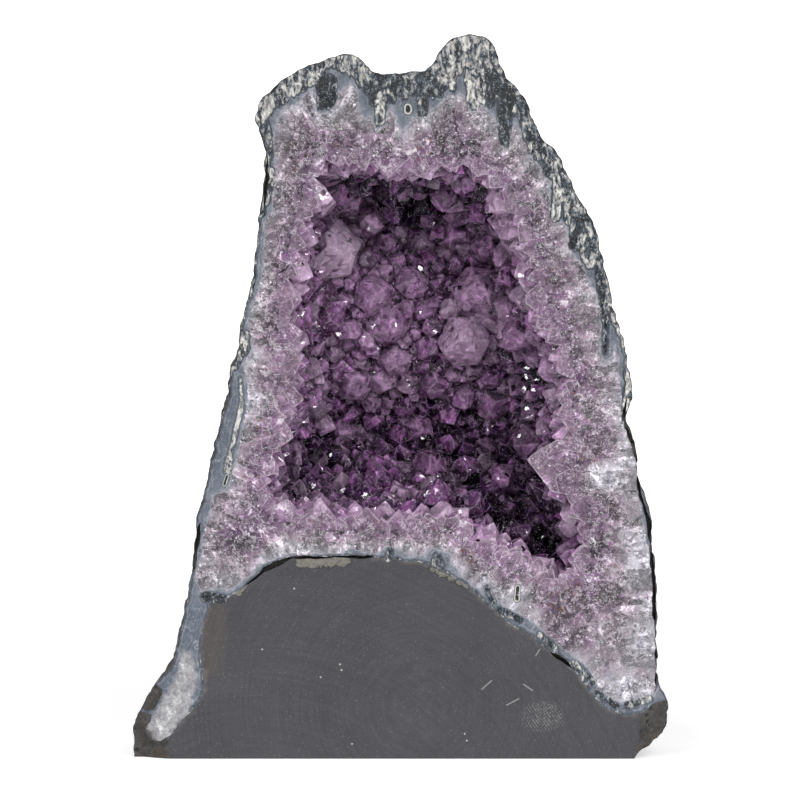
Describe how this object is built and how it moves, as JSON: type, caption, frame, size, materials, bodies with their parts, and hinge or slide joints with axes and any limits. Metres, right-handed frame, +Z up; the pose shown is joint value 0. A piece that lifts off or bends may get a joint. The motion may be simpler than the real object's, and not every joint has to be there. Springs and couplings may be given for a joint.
{
  "type": "amethyst geode",
  "caption": "Cathedral amethyst geode, sawn flat on its front and base so that it stands, with purple crystal points in an open cavity ringed by agate and dark basalt.",
  "frame": {"origin": "centre of the bounding box, on the sawn base it stands on", "axes": "+Z up, the sawn front face with the open cavity faces -Y, +X to the right as seen from the front"},
  "size_m": [0.2222, 0.14, 0.3001],
  "materials": {
    "basalt": "matte dark grey volcanic rock, sawn on the front, rough on the back",
    "agate": "cut blue-grey banded chalcedony",
    "amethyst": "milky to purple quartz, sawn at the rim, with glossy natural crystal faces"
  },
  "bodies": {
    "root": {"basalt_matrix": "basalt", "agate_layer": "agate", "amethyst_crystals": "amethyst"}
  },
  "joints": []
}
